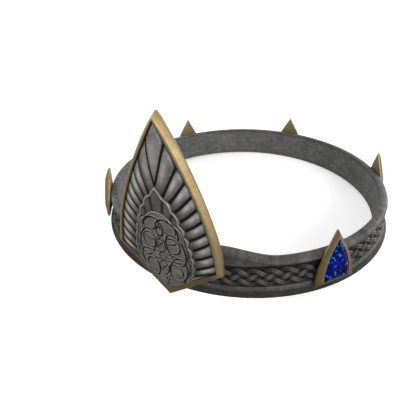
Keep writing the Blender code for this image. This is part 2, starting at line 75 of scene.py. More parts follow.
# Band: radius and height up the inner wall, over the rim, down the panel and under the foot
BAND_ROWS = (
    (92.5, 0.0), (92.15, 0.15), (92.0, 0.5), (92.0, 5.0), (92.0, 10.0), (92.0, 15.0), (92.0, 19.5),
    (92.0, 22.1), (92.1, 22.45), (92.4, 22.66), (92.9, 22.7), (93.5, 22.68), (94.1, 22.62),
    (94.7, 22.54), (95.3, 22.42), (95.85, 22.26), (96.35, 22.03), (96.75, 21.75), (97.05, 21.42),
    (97.28, 21.02), (97.42, 20.6), (97.5, 20.15), (97.48, 19.85), (97.3, 19.6),
    (96.9, 19.42), (95.6, 19.1), (94.5, 18.78), (94.32, 18.5), (94.66, 18.1), (94.69, 17.95),
    (94.42, 17.75),
    (94.95, 15.5), (95.5, 13.6), (96.05, 11.7), (96.6, 9.8), (97.1, 7.9), (97.66, 5.95), (97.99, 5.8),
    (98.2, 5.3), (98.42, 4.9), (98.72, 4.55), (98.6, 4.1), (99.2, 3.1), (99.9, 1.95), (100.6, 0.85),
    (100.76, 0.5), (100.65, 0.15), (100.3, 0.0), (96.4, 0.0),
)
BAND_SIDES = 396
RISE = 6.0
RISE_STARTS = math.radians(37)
RISE_ENDS = math.radians(17)

# Panel: the cone from the top of the foot to the underside of the rim, and the rim's own top
PANEL_LOW_Z = 4.2
PANEL_TOP_Z = 18.6
PANEL_LOW_RADIUS = 98.5
PANEL_TOP_RADIUS = 94.4
RIM_TOP_Z = 22.7

# Painted shade and darkening on the band's surfaces, from 0 clean to 1 black: painted shade in the plait's
# ground, under the rim and in the inner corner, and darkening on the panel, foot and rim. The rim's is
# deepest at the front right.
FIELD_SHADE = 0.88
PANEL_DARKENING = 0.44
FOOT_DARKENING = 0.78
UNDER_RIM_SHADE = 0.9
INNER_CORNER_SHADE = 0.45
RIM_DARKENING = 0.2
RIM_DARKENING_SWING = 0.12
RIM_DARKENING_MIDDLE = 0.9
RIM_STREAKS = 0.36
RIM_RUBBED = 0.3

# Pocket in the band for the plate's back
POCKET_GROWTH = 0.6
POCKET_BACK = 98.3
POCKET_DEPTH = 8.0

# Plait round the panel
PLAIT_UNITS = 66
PLAIT_MIDDLE_Z = 11.7
PLAIT_SWING = 4.15
STATIONS_PER_UNIT = 10
CORD_LIFT = 0.22
CORD_SINK = 0.08
CORD_SECTION = (
    # across, height above the panel, recess (painted shade, darkest at the cord's sides)
    (-1.3, -0.35, 1.0), (-1.22, 0.26, 0.97), (-1.04, 0.5, 0.62), (-0.7, 0.64, 0.42),
    (-0.3, 0.62, 0.46), (-0.06, 0.5, 0.8), (0.06, 0.5, 0.8), (0.3, 0.62, 0.46),
    (0.7, 0.64, 0.42), (1.04, 0.5, 0.62), (1.22, 0.26, 0.97), (1.3, -0.35, 1.0),
)

# Plate outline from apex to tip: silver field, gold edge, how far the gold falls back, its back face
OUTLINE = (
    # field_u, field_z, gold_u, gold_z, gold_fall, back
    (0.0, 95.1, 0.0, 99.2, 2.4, 96.2),
    (1.6, 92.6, 3.5, 95.0, 2.6, 96.4),
    (4.4, 87.8, 8.0, 88.6, 2.7, 97.0),
    (10.0, 78.0, 13.8, 79.0, 2.8, 97.4),
    (15.4, 68.3, 19.0, 69.0, 2.8, 97.6),
    (19.9, 58.5, 23.7, 58.9, 2.6, 97.6),
    (23.8, 48.8, 27.6, 49.1, 2.3, 97.6),
    (26.9, 39.0, 30.9, 39.2, 2.0, 97.6),
    (29.0, 29.3, 33.0, 29.3, 1.7, 97.6),
    (30.5, 19.9, 34.1, 18.8, 0.9, 98.0),
    (15.3, 8.3, 17.1, 5.5, -0.4, 98.6),
    (0.0, -3.4, 0.0, -7.9, -0.8, 98.6),
)
SHOULDER_ROW = 9
FIELD_FRONT = 100.9
DOME_EDGE = 100.3
PLATE_WALL = 2.2

# Height of the dome along the plate's middle line: z, height
DOME_LINE = (
    (-3.4, 0.75), (8.0, 1.95), (20.0, 2.7), (35.0, 3.4), (50.0, 3.7), (65.0, 3.5), (80.0, 2.1), (95.1, 0.0),
)

# Relief: its columns, and its rows below and above the knot's top
RELIEF_COLUMNS = 252
RELIEF_ROWS = (274, 96)
KNOT_TOP_Z = 52.0
BACK_ROWS = 61
BACK_COLUMNS = 41
BACK_TARNISH = 0.25

# Grooves between the outer feathers, right half, from the apex down
GROOVES = (
    # root_u, root_z, end_u, end_z
    (0.4, 66.0, 5.0, 85.6),
    (4.3, 60.4, 11.0, 75.7),
    (7.4, 57.0, 14.9, 68.6),
    (10.0, 52.6, 18.1, 61.9),
    (12.6, 47.9, 20.9, 55.8),
    (14.9, 43.0, 23.3, 49.6),
    (16.2, 37.0, 25.3, 43.4),
    (17.6, 31.2, 27.0, 37.6),
    (18.0, 25.2, 28.5, 31.0),
    (17.6, 18.6, 29.5, 25.0),
    (15.6, 12.6, 30.0, 19.8),
)
GROOVE_SAG = 0.25
GROOVE_HALF = 0.8
FEATHER_RIDGE = 0.95

# Short feathers over the roots of the outer ones, right half, from the top down: the notch where each
# one starts, how far its edge bulges, and where its flute, painted dark as shade, ends at the medallion
TIER = (
    # notch_u, notch_z, bulge, flute_u, flute_z
    (0.0, 64.8, 0.05, 0.0, 64.8),
    (4.0, 59.7, 0.14, 2.9, 50.4),
    (9.0, 52.8, 0.17, 7.0, 46.8),
    (12.3, 46.0, 0.17, 10.6, 43.6),
    (14.7, 39.6, 0.17, 12.9, 38.6),
    (16.5, 33.4, 0.17, 13.9, 32.8),
    (17.9, 27.4, 0.17, 14.4, 26.8),
    (18.6, 21.6, 0.17, 14.6, 21.0),
    (18.0, 16.2, 0.15, 14.2, 15.4),
    (16.2, 11.4, 0.0, 13.0, 10.6),
)

# Medallion outline, right half, from the top down and out past the field's lower edge
MEDALLION = (
    (0.0, 51.0), (3.4, 50.3), (6.4, 48.3), (8.6, 45.4), (11.2, 44.2), (13.2, 41.8),
    (14.3, 38.4), (14.3, 34.4), (15.2, 31.6), (15.6, 28.0), (14.9, 24.6), (15.8, 21.2),
    (15.8, 17.2), (14.6, 13.0), (15.4, 9.6), (17.4, 7.4), (8.0, -1.0), (0.0, -7.0),
)
MEDALLION_RISE = 1.15
MEDALLION_MIDDLE_Z = 24.0

# Knot: its loops on the right half, a belt across and a twist up the middle
KNOT_LOOPS = (
    # middle_u, middle_z, half_u, half_z, tilt in degrees
    (7.0, 31.2, 4.6, 5.0, 0),
    (7.2, 13.6, 4.4, 4.8, 0),
    (9.0, 29.0, 5.0, 10.0, 16),
    (9.2, 14.6, 5.2, 9.6, -14),
    (4.4, 39.4, 6.4, 7.6, 24),
    (5.4, 5.2, 7.6, 4.2, 38),
    (5.0, 42.6, 5.6, 3.4, -34),
)
KNOT_BELT = (0.0, 22.4, 13.6, 2.6)
KNOT_TWIST = {"half_width": 2.1, "low": 3.4, "high": 41.6, "waves": 7}
STRAND_HALF_WIDTH = 0.9
LINE_HALF_WIDTH = 0.5
TWIST_LINE_SHARE = 0.62
STEEP_CROSSING = 0.45

# Pointed outlines of a setting and its stone, right half, from the foot up
POINT = (
    # frame_u, frame_v, stone_u, stone_v, table_u, table_v
    (12.6, 4.2, 8.1, 6.6, 5.6, 8.6),
    (12.7, 8.5, 8.1, 9.8, 5.6, 10.8),
    (11.3, 14.4, 7.4, 14.2, 5.0, 14.4),
    (8.8, 20.3, 5.9, 19.4, 3.8, 18.8),
    (5.9, 26.0, 3.7, 24.8, 2.1, 23.0),
    (0.0, 36.2, 0.0, 31.4, 0.0, 27.2),
)
POINT_ANGLES = {"front_right": 54, "rear_right": 122, "rear": 180, "rear_left": 238, "front_left": 306}
# The setting given painted light: it takes less painted shade than the others
PAINTED_LIGHT_POINT = "point_front_left"
POINT_MIDDLE_V = 16.0
SETTING_LEAN = math.radians(7.3)
SETTING_BACK_RADIUS = 97.8
SETTING_SLAB = 1.2
SETTING_CREST = 1.7
STONE_TABLE = 1.1
RIM_FACE_TOP = 21.4

# Metals: colours of the metal, its patina and painted shade, its rubbed edges and painted highlights,
# and its warm stain, then mottle, roughness, metallic and bump
PLATE_SILVER = (
    ((0.246, 0.241, 0.232), (0.006, 0.007, 0.008), (0.6, 0.59, 0.575), (0.18, 0.157, 0.13)),
    0.6, 0.46, 0.7, 0.35,
)
BAND_SILVER = (
    ((0.176, 0.174, 0.17), (0.006, 0.007, 0.008), (0.42, 0.42, 0.42), (0.127, 0.109, 0.087)),
    0.7, 0.5, 0.6, 0.4,
)
PLAIT_SILVER = (
    ((0.083, 0.081, 0.074), (0.004, 0.005, 0.007), (0.18, 0.172, 0.161), (0.068, 0.059, 0.046)),
    0.6, 0.52, 0.6, 0.35,
)
WORN_GOLD = (
    ((0.384, 0.288, 0.141), (0.06, 0.038, 0.014), (0.66, 0.56, 0.37), (0.275, 0.196, 0.09)),
    0.4, 0.44, 0.7, 0.2,
)

# Floor: where it touches the plate's tip and the band's rear, in metres from the axis
TIP_REACH = 0.1015
REAR_REACH = 0.1003
FLOOR_SIZE = 6.0
FLOOR_DROP = 0.0002

# Lamps: the way that each shines from, its strength, and its spread in degrees
LAMPS = {
    "key": ((0.72, -0.55, 0.38), 1.8, 28.0),
    "fill": ((-0.55, -0.75, 0.22), 0.75, 50.0),
    "back": ((0.56, 0.8, 0.17), 4.1, 40.0),
    "side": ((-0.85, 0.2, 0.3), 1.15, 50.0),
}


# Camera

def add_camera():
    yaw, pitch, roll = (math.radians(angle) for angle in CAMERA_ANGLES)
    right = Vector((math.cos(yaw), math.sin(yaw), 0.0))
    level = Vector((-math.sin(yaw), math.cos(yaw), 0.0))
    forward = level * math.cos(pitch) - Vector((0.0, 0.0, math.sin(pitch)))
    up = level * math.sin(pitch) + Vector((0.0, 0.0, math.cos(pitch)))
    side = right * math.cos(roll) + up * math.sin(roll)
    top = up * math.cos(roll) - right * math.sin(roll)
    placing = Matrix((side, top, -forward)).transposed().to_4x4()
    placing.translation = Vector(CAMERA_PLACE) * (RIM_RADIUS * MM) + Vector(AXIS_FOOT)
    lens = bpy.data.cameras.new("camera")
    lens.sensor_width = SENSOR_WIDTH
    lens.lens = SENSOR_WIDTH * FOCAL_PIXELS / FRAME_PIXELS
    lens.clip_start = 0.01
    camera = bpy.data.objects.new("camera", lens)
    bpy.context.scene.collection.objects.link(camera)
    camera.matrix_world = placing
    bpy.context.scene.camera = camera


# Helpers for modelling

def deselect():
    bpy.ops.object.select_all(action="DESELECT")


def pick(piece):
    """Select one piece alone."""
    deselect()
    bpy.context.view_layer.objects.active = piece
    piece.select_set(True)


def take(name):
    """Name the piece just added."""
    piece = bpy.context.object
    piece.name = name
    piece.data.name = name
    return piece


def edit_mode(piece, select="SELECT"):
    pick(piece)
    bpy.ops.object.mode_set(mode="EDIT")
    bpy.ops.mesh.select_mode(type="VERT")
    bpy.ops.mesh.select_all(action=select)


def object_mode():
    bpy.ops.object.mode_set(mode="OBJECT")


def settle(piece):
    """Leave the piece's place in its mesh and its object at the origin."""
    pick(piece)
    bpy.ops.object.transform_apply(location=True, rotation=True, scale=True)


def apply_all(piece):
    pick(piece)
    for step in list(piece.modifiers):
        bpy.ops.object.modifier_apply(modifier=step.name)


def face_outwards():
    bpy.ops.mesh.select_all(action="SELECT")
    bpy.ops.mesh.normals_make_consistent(inside=False)
    object_mode()


def tidy_mesh(piece, merge=0.001):
    edit_mode(piece)
    bpy.ops.mesh.remove_doubles(threshold=merge * MM)
    bpy.ops.mesh.dissolve_degenerate(threshold=0.0005 * MM)
    face_outwards()


def smooth(piece, degrees):
    pick(piece)
    bpy.ops.object.shade_smooth_by_angle(angle=math.radians(degrees))


def paint(piece, name, values):
    """A number for each point of the mesh, for the materials to read."""
    layer = piece.data.attributes.get(name) or piece.data.attributes.new(name, "FLOAT", "POINT")
    layer.data.foreach_set("value", np.ascontiguousarray(values, dtype=np.float32).ravel())


def points_of(piece):
    flat = np.empty(len(piece.data.vertices) * 3)
    piece.data.vertices.foreach_get("co", flat)
    return flat.reshape(-1, 3)


def set_points(piece, places):
    piece.data.vertices.foreach_set("co", np.ascontiguousarray(places).ravel())
    piece.data.update()


def world(places):
    """Millimetres about the band's axis to metres in the frame."""
    return np.asarray(places) * MM + np.array(AXIS_FOOT)


def shaped_grid(name, places):
    """A grid primitive whose points take the given places, rows by columns, in mm."""
    rows, columns = places.shape[:2]
    deselect()
    bpy.ops.mesh.primitive_grid_add(x_subdivisions=columns - 1, y_subdivisions=rows - 1, size=0.1)
    piece = take(name)
    set_points(piece, world(places.reshape(-1, 3)))
    return piece


def turned(name, rows, sides):
    """A ring: a circle drawn out row by row round its section, and closed on itself."""
    deselect()
    first_radius, first_z = rows[0]
    middle = Vector(AXIS_FOOT)
    bpy.ops.mesh.primitive_circle_add(
        vertices=sides, radius=first_radius * MM, fill_type="NOTHING",
        location=middle + Vector((0.0, 0.0, first_z * MM)),
    )
    piece = take(name)
    settle(piece)
    edit_mode(piece)
    radius, z = first_radius, first_z
    for next_radius, next_z in rows[1:] + rows[:1]:
        bpy.ops.mesh.extrude_region_move(TRANSFORM_OT_translate={"value": (0.0, 0.0, (next_z - z) * MM)})
        share = next_radius / radius
        bpy.ops.transform.resize(value=(share, share, 1.0), center_override=middle)
        radius, z = next_radius, next_z
    object_mode()
    tidy_mesh(piece, 0.01)
    return piece


def closed_loft(name, rings, recess, edge, caps=True):
    """Rings of equal count drawn as one skin, its seam merged and its ends filled. recess and edge, the
    painted shade and lightening numbers, have a number for each ring, or a row of them for each."""
    places = np.array([list(ring) + [ring[0]] for ring in rings])
    piece = shaped_grid(name, places)
    for key, values in (("recess", recess), ("edge", edge)):
        paint(piece, key, np.array([np.resize(row, places.shape[1]) for row in values]))
    tidy_mesh(piece)
    if caps:
        edit_mode(piece, "DESELECT")
        bpy.ops.mesh.select_non_manifold()
        bpy.ops.mesh.fill_holes(sides=0)
        face_outwards()
    return piece


def bevelled(piece, width, segments, degrees):
    step = piece.modifiers.new("edges", "BEVEL")
    step.width = width * MM
    step.segments = segments
    step.limit_method = "ANGLE"
    step.angle_limit = math.radians(degrees)
    step.harden_normals = False
    apply_all(piece)


def finish(piece, look, slot, *nodes):
    piece.data.materials.clear()
    piece.data.materials.append(look)
    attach(piece, "root")
    if nodes:
        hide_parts(*nodes)
    return piece


# Band

def ease(share):
    share = np.clip(share, 0.0, 1.0)
    return share * share * (3.0 - 2.0 * share)


def front_rise(azimuth):
    turn = np.abs((azimuth + math.pi) % (2 * math.pi) - math.pi)
    return RISE * ease((RISE_STARTS - turn) / (RISE_STARTS - RISE_ENDS))


def panel_radius(z, azimuth):
    top = PANEL_TOP_Z + front_rise(azimuth) * (PANEL_TOP_Z - PANEL_LOW_Z) / (RIM_TOP_Z - PANEL_LOW_Z)
    share = (z - PANEL_LOW_Z) / (top - PANEL_LOW_Z)
    return PANEL_LOW_RADIUS + share * (PANEL_TOP_RADIUS - PANEL_LOW_RADIUS)


def shade_and_wear_band(band, radius, azimuth, z, in_panel):
    """Dark numbers: painted shade for the band's recessed surfaces and under its rim, darkening on its
    panel, foot and rim, and streaks across its rim.
    """
    field = in_panel & (z < 17.8) & (z > 5.9)
    inner_corner = (radius < 92.3) & (z > 22.0)
    under_rim = (radius > 94.0) & (radius < 97.45) & (z > 18.2) & (z < 19.75)
    panel = in_panel | ((radius > 97.0) & (radius < 99.0) & (z > 4.0) & (z < 6.2))
    foot = (radius > 98.55) & (z < PANEL_LOW_Z)
    recess = np.zeros(len(z))
    # Painted shade in the plait's ground, in the inner corner and under the rim; darkening on the panel and
    # foot
    for surface, darkness in (
        (foot, FOOT_DARKENING), (panel, PANEL_DARKENING), (field, FIELD_SHADE),
        (inner_corner, INNER_CORNER_SHADE), (under_rim, UNDER_RIM_SHADE),
    ):
        recess[surface] = darkness
    streaks = np.random.default_rng(5).random(BAND_SIDES)
    streaks = 0.5 * streaks + 0.3 * np.roll(streaks, 1) + 0.2 * np.roll(streaks, 2)
    around = np.round(azimuth / (2 * math.pi) * BAND_SIDES).astype(int) % BAND_SIDES
    on_rim = (z > 19.7) & (radius > 92.6)
    # Darkening across the rim, deepest at the front right, with random streaks; the edge numbers here are
    # rubbed wear
    rim = RIM_DARKENING + RIM_DARKENING_SWING * np.cos(azimuth - RIM_DARKENING_MIDDLE)
    rubbed = RIM_RUBBED * np.clip(streaks[-around] - 0.4, 0.0, 1.0)
    paint(band, "recess", np.where(on_rim, rim + RIM_STREAKS * streaks[around], recess))
    paint(band, "edge", np.where(on_rim, rubbed, 0.0))


def cut_pocket(band):
    """Room in the band for the back of the front plate."""
    deselect()
    loop = gold_loop(POCKET_GROWTH)
    bpy.ops.mesh.primitive_circle_add(vertices=len(loop), radius=0.05, fill_type="NGON")
    pocket = take("plate_pocket")
    set_points(pocket, world([(u, -POCKET_BACK, z) for u, z in loop]))
    edit_mode(pocket)
    bpy.ops.mesh.extrude_region_move(TRANSFORM_OT_translate={"value": (0.0, -POCKET_DEPTH * MM, 0.0)})
    face_outwards()
    step = band.modifiers.new("pocket", "BOOLEAN")
    step.operation = "DIFFERENCE"
    step.solver = "EXACT"
    step.object = pocket
    apply_all(band)
    bpy.data.objects.remove(pocket)


def make_band(look):
    """The ring, raised in front, with a sloping panel for the plait and a pocket for the plate."""
    band = turned("cast_band", BAND_ROWS, BAND_SIDES)
    places = (points_of(band) - np.array(AXIS_FOOT)) / MM
    radius = np.hypot(places[:, 0], places[:, 1])
    azimuth = np.arctan2(places[:, 0], -places[:, 1])
    z = places[:, 2].copy()
    in_panel = (radius > 94.2) & (radius < 98.55) & (z > PANEL_LOW_Z) & (z < 18.2)
    sunk = panel_radius(z, np.full_like(z, math.pi)) - radius
    new_radius = np.where(in_panel, panel_radius(z, azimuth) - sunk, radius)
    share = np.clip((z - PANEL_LOW_Z) / (RIM_TOP_Z - PANEL_LOW_Z), 0.0, 1.0)
    new_z = np.where(in_panel, z, z + front_rise(azimuth) * share)
    places = np.stack((new_radius * np.sin(azimuth), -new_radius * np.cos(azimuth), new_z), axis=1)
    set_points(band, world(places))
    shade_and_wear_band(band, radius, azimuth, new_z, in_panel)
    cut_pocket(band)
    smooth(band, 40)
    return finish(band, look, "antiqued_silver", "band")


# Plait

def weave_height(phase):
    """Over at +1 and under at -1, through the eight eighths of a strand's wave."""
    marks = np.array((1.0, -1.0, 0.0, 1.0, -1.0, 1.0, 0.0, -1.0, 1.0))
    place = (phase % 1.0) * 8.0
    low = np.floor(place).astype(int)
    share = ease(place - low)
    return marks[low] * (1.0 - share) + marks[low + 1] * share


def strand_swing(phase):
    return np.arcsin(0.95 * np.sin(2 * math.pi * phase)) / math.asin(0.95)


def make_strand(name, first_pass, look):
    """One double cord that goes twice round the band, over and under the others."""
    count = 2 * PLAIT_UNITS * STATIONS_PER_UNIT
    turn = np.arange(count) / count * 4 * math.pi
    pitch = 2 * math.pi / PLAIT_UNITS
    phase = turn / (4 * pitch) + first_pass / 4.0
    z = PLAIT_MIDDLE_Z + PLAIT_SWING * strand_swing(phase)
    level = weave_height(phase)
    along_u = np.gradient(turn) * RIM_RADIUS
    along_z = np.roll(z, -1) - np.roll(z, 1)
    length = np.hypot(2 * along_u, along_z)
    across_u, across_z = -along_z / length, 2 * along_u / length
    section = CORD_SECTION + CORD_SECTION[:1]
    rings = np.zeros((count + 1, len(section), 3))
    shade = np.zeros((count + 1, len(section)))
    for j, (half, up, dark) in enumerate(section):
        here_z = z + half * across_z
        here_turn = turn + half * across_u / RIM_RADIUS
        radius = panel_radius(here_z, here_turn) + up + np.where(up > 0, CORD_LIFT * level, 0.0) - CORD_SINK
        rings[:count, j, 0] = radius * np.sin(here_turn)
        rings[:count, j, 1] = -radius * np.cos(here_turn)
        rings[:count, j, 2] = here_z
        # Painted shade: darker at the cords' sides and where a cord passes under the other
        shade[:count, j] = np.clip(dark - 0.4 * level, 0.0, 1.0)
    rings[count] = rings[0]
    shade[count] = shade[0]
    strand = shaped_grid(name, rings)
    paint(strand, "recess", shade)
    # Painted highlight on the cords' crowns, where the painted shade is least
    paint(strand, "edge", np.clip(0.6 - 1.4 * shade, 0.0, 1.0))
    tidy_mesh(strand, 0.0005)
    smooth(strand, 60)
    return finish(strand, look, "antiqued_silver", "band")


# Front plate

def smooth_rows(rows, columns, steps):
    """A smooth line through chosen columns of the outline's rows."""
    chosen = np.array([[row[c] for c in columns] for row in rows])
    before = 2 * chosen[0] - chosen[1]
    after = 2 * chosen[-1] - chosen[-2]
    line = np.vstack((before, chosen, after))
    out = []
    for i in range(1, len(line) - 2):
        a, b, c, d = line[i - 1:i + 3]
        for step in range(steps):
            t = step / steps
            out.append(0.5 * (2 * b + (c - a) * t + (2 * a - 5 * b + 4 * c - d) * t * t
                              + (3 * b - a - 3 * c + d) * t ** 3))
    out.append(chosen[-1])
    return np.array(out)


def half_outline(steps=6):
    """Stations from apex to tip with every column, smooth down to the shoulder and straight below it."""
    peak = np.array(OUTLINE[:2])
    mitre = [peak[0] + (peak[1] - peak[0]) * step / steps for step in range(steps)]
    upper = np.vstack((mitre, smooth_rows(OUTLINE[1:SHOULDER_ROW + 1], range(6), steps)))
    lower = np.array(OUTLINE[SHOULDER_ROW:])
    straight = []
    for low, high in zip(lower, lower[1:]):
        for step in range(1, 4):
            straight.append(low + (high - low) * step / 3)
    return np.vstack((upper, straight))


def grown(loop, middle_v, growth):
    """A loop drawn outwards from a place on the middle line."""
    middle = np.array((0.0, middle_v))
    out = loop - middle
    return middle + out * (1 + growth / np.linalg.norm(out, axis=1))[:, None]


def gold_loop(growth):
    """Closed outline of the gold edge, grown outwards."""
    right = half_outline(3)[:, 2:4]
    loop = np.vstack((right, right[-2:0:-1] * np.array((-1.0, 1.0))))
    return grown(loop, 40.0, growth)


def field_half_width(z):
    line = half_outline(10)
    order = np.argsort(line[:, 1])
    return np.interp(z, line[order, 1], line[order, 0])


def dome(u, z):
    """How far the plate's smooth ground stands out from the axis."""
    crown = smooth_rows(DOME_LINE, (0, 1), 8)
    half = np.maximum(field_half_width(z), 0.5)
    share = np.clip(np.abs(u) / half, 0.0, 1.0)
    return DOME_EDGE + np.interp(z, crown[:, 0], crown[:, 1]) * (1 - share * share)


def line_distance(u, z, path):
    """Distance of points from a line, how far along it the nearest place lies, and which side."""
    best = np.full(u.shape, 1e9)
    along = np.zeros(u.shape)
    side = np.zeros(u.shape)
    start = 0.0
    for a, b in zip(path, path[1:]):
        step = b - a
        length = math.hypot(*step)
        if length < 1e-9:
            continue
        share = np.clip(((u - a[0]) * step[0] + (z - a[1]) * step[1]) / length ** 2, 0.0, 1.0)
        off_u, off_z = u - a[0] - share * step[0], z - a[1] - share * step[1]
        distance = np.hypot(off_u, off_z)
        nearer = distance < best
        best = np.where(nearer, distance, best)
        along = np.where(nearer, start + share * length, along)
        side = np.where(nearer, np.sign(step[0] * off_z - step[1] * off_u), side)
        start += length
    return best, along, side


def groove_path(root_u, root_z, end_u, end_z):
    """A groove that sags a little below the straight line between its ends."""
    root, end = np.array((root_u, root_z)), np.array((end_u, end_z))
    step = end - root
    down = np.array((step[1], -step[0])) / np.linalg.norm(step)
    path = []
    for t in np.linspace(-0.35, 1.15, 13):
        path.append(root + step * t + down * GROOVE_SAG * 4 * max(t, 0.0) * (1 - t))
    return path


def tier_path():
    """The scalloped edge of the short feathers, from the apex down the right side."""
    notches = [np.array(row[:2]) for row in TIER]
    path = []
    for (a, b), row in zip(zip(notches, notches[1:]), TIER):
        step = b - a
        out = np.array((-step[1], step[0]))
        control = (a + b) / 2 + out * row[2] * 2
        for t in np.linspace(0, 1, 9)[:-1]:
            path.append(a * (1 - t) ** 2 + control * 2 * t * (1 - t) + b * t * t)
    path.append(notches[-1])
    return path


def outer_feathers(u, z):
    """Height, painted shade (recess) and painted highlight (edge light) of the fan of feathers, each
    rounded from groove to groove.
    """
    right = np.abs(u)
    above = np.full(u.shape, 1e9)
    below = np.full(u.shape, 1e9)
    for groove in GROOVES:
        distance, side = line_distance(right, z, groove_path(*groove))[::2]
        above = np.where((side < 0) & (distance < above), distance, above)
        below = np.where((side > 0) & (distance < below), distance, below)
    nearest = np.minimum(above, below)
    both = above + below < 50
    share = np.where(both, above / np.maximum(above + below, 0.01), 0.45)
    half = np.where(both, (above + below) / 2, 3.0)
    groove_half = GROOVE_HALF * (1 - 0.28 * ease((z - 54.0) / 16.0))
    reach = np.clip((nearest - 0.6 * groove_half) / np.maximum(half - 0.6 * groove_half, 0.3), 0.0, 1.0)
    crown = np.sqrt(np.maximum(1 - (1 - reach) ** (2.0 + 1.4 * ease((z - 38.0) / 22.0)), 0.0))
    to_border = line_distance(right, z, list(half_outline(2)[:, :2]))[0]
    to_tier = line_distance(right, z, tier_path())[0]
    outwards = to_tier / np.maximum(to_tier + to_border, 0.01)
    swell = np.exp(-((outwards - 0.62) / 0.24) ** 2)
    tip = np.hypot(np.minimum(half, 3.0) * (1 - reach), np.maximum(3.2 - to_border, 0.0))
    rounded = 0.75 * ease((z - 62.0) / 14.0)
    corner = rounded * ease((tip - 2.5) / 0.5) * (to_border < 3.2)
    height = FEATHER_RIDGE * crown * (0.7 + 0.3 * swell) * (0.3 + 0.7 * ease(to_border / 1.8))
    height = np.maximum(height - 0.25 * corner, 0.0)
    # Painted shade: dark in the grooves, on each feather's lower side, at the rounded tips, along the
    # border, near the short feathers and towards the apex
    recess = np.exp(-(nearest / groove_half) ** 4) + 0.6 * np.clip(share - 0.45, 0.0, 1.0) + 0.3 * corner
    recess = recess + 0.5 * np.exp(-(to_border / 0.7) ** 2) + 0.42 * np.exp(-(to_tier / 3.2) ** 2)
    recess = recess + 0.12 * ease((z - 62.0) / 12.0)
    # Painted highlights: a broad one on each feather's swell, a lip at the rounded tips and a lip along the
    # upper edges on the left half, fainter towards the apex
    lip = rounded * np.exp(-((tip - 2.4) / 0.3) ** 2) * (to_border < 2.6)
    edge = np.maximum(1.1 * crown * swell * np.exp(-((share - 0.36) / 0.18) ** 2), 0.4 * lip)
    left_lip = np.exp(-((above - 1.15) / 0.4) ** 2) * (u < 0) * ease((outwards - 0.2) / 0.2)
    edge = np.maximum(edge, 0.5 * left_lip)
    edge = edge * (1 - 0.55 * ease((z - 66.0) / 10.0))
    return height, np.clip(recess, 0.0, 1.0), np.where(nearest < groove_half, 0.0, edge)


def short_feathers(u, z, height, recess, edge):
    """Overlapping short feathers: a scalloped rim with a painted highlight, a soft flute below each notch
    painted dark as shade, and a painted shadow on the outer feathers beside them.
    """
    right = np.abs(u)
    distance, side = line_distance(right, z, tier_path())[::2]
    inside = np.where((side < 0) & (z > TIER[-1][1]), distance, -distance)
    rim = np.exp(-((inside - 0.75) / 0.34) ** 2)
    flute = np.zeros(u.shape)
    for row in TIER[1:]:
        off = line_distance(right, z, (np.array(row[:2]), np.array(row[3:])))[0]
        flute = np.maximum(flute, np.exp(-(off / 0.8) ** 2))
    body = ease(inside / 0.6)
    level = FEATHER_RIDGE + 0.08 + 0.18 * rim - 0.25 * ease((inside - 0.9) / 1.4) - 0.3 * flute * (1 - rim)
    height = np.where(inside > 0, height * (1 - body) + level * body, height)
    # Painted shadow of the short feathers on the outer ones; painted shade over their bodies, in their
    # flutes and along their outline; a painted highlight on the rim, brighter higher up
    painted_shadow = np.exp(-(np.minimum(inside, 0.0) / 0.5) ** 2) * (inside <= 0) * (z > 15)
    under = 0.42 * ease((inside - 0.9) / 0.8) + 0.5 * flute * (1 - rim) + 0.6 * ease((0.5 - inside) / 0.4)
    recess = np.where(inside > 0, under, np.maximum(recess, 0.85 * painted_shadow))
    edge = np.where(inside > 0, 0.6 * rim * (0.35 + 0.65 * ease((z - 24.0) / 20.0)), edge * (1 - painted_shadow))
    return height, recess, edge


def ellipse(middle_u, middle_z, half_u, half_z, tilt=0, count=96):
    turn = np.linspace(0, 2 * math.pi, count, endpoint=False)
    across, up = half_u * np.cos(turn), half_z * np.sin(turn)
    tilt = math.radians(tilt)
    return np.stack((
        middle_u + across * math.cos(tilt) - up * math.sin(tilt),
        middle_z + across * math.sin(tilt) + up * math.cos(tilt),
    ), axis=1)


def twist(half_width, low, high, waves, count=220):
    """A closed narrow loop whose two sides cross each other up the middle."""
    turn = np.linspace(0, 2 * math.pi, count, endpoint=False)
    up = (1 - np.cos(turn)) / 2
    u = half_width * np.sin(waves * math.pi * up) * np.sign(np.sin(turn) + 1e-9)
    return np.stack((u, low + (high - low) * up), axis=1)


def knot_strands():
    """The knot: its loops on both sides, the belt, and last the twist."""
    strands = []
    for side in (1, -1):
        for middle_u, middle_z, half_u, half_z, tilt in KNOT_LOOPS:
            strands.append(ellipse(side * middle_u, middle_z, half_u, half_z, side * tilt))
    strands.append(ellipse(*KNOT_BELT))
    strands.append(twist(**KNOT_TWIST))
    return strands


def crossings(strands):
    """Where strands cross: (strand, place along it) for each of the two passes."""
    found = []
    for a, first in enumerate(strands):
        for b, second in list(enumerate(strands))[a:]:
            step = (np.roll(first, -1, axis=0) - first)[:, None, :]
            other = (np.roll(second, -1, axis=0) - second)[None, :, :]
            gap = second[None, :, :] - first[:, None, :]
            across = step[..., 0] * other[..., 1] - step[..., 1] * other[..., 0]
            with np.errstate(divide="ignore", invalid="ignore"):
                t = (gap[..., 0] * other[..., 1] - gap[..., 1] * other[..., 0]) / across
                w = (gap[..., 0] * step[..., 1] - gap[..., 1] * step[..., 0]) / across
            hit = (t >= 0) & (t < 1) & (w >= 0) & (w < 1)
            for i, j in zip(*np.nonzero(hit)):
                if a == b and (j <= i + 1 or (i == 0 and j == len(first) - 1)):
                    continue
                found.append(((a, i + t[i, j]), (b, j + w[i, j])))
    return found


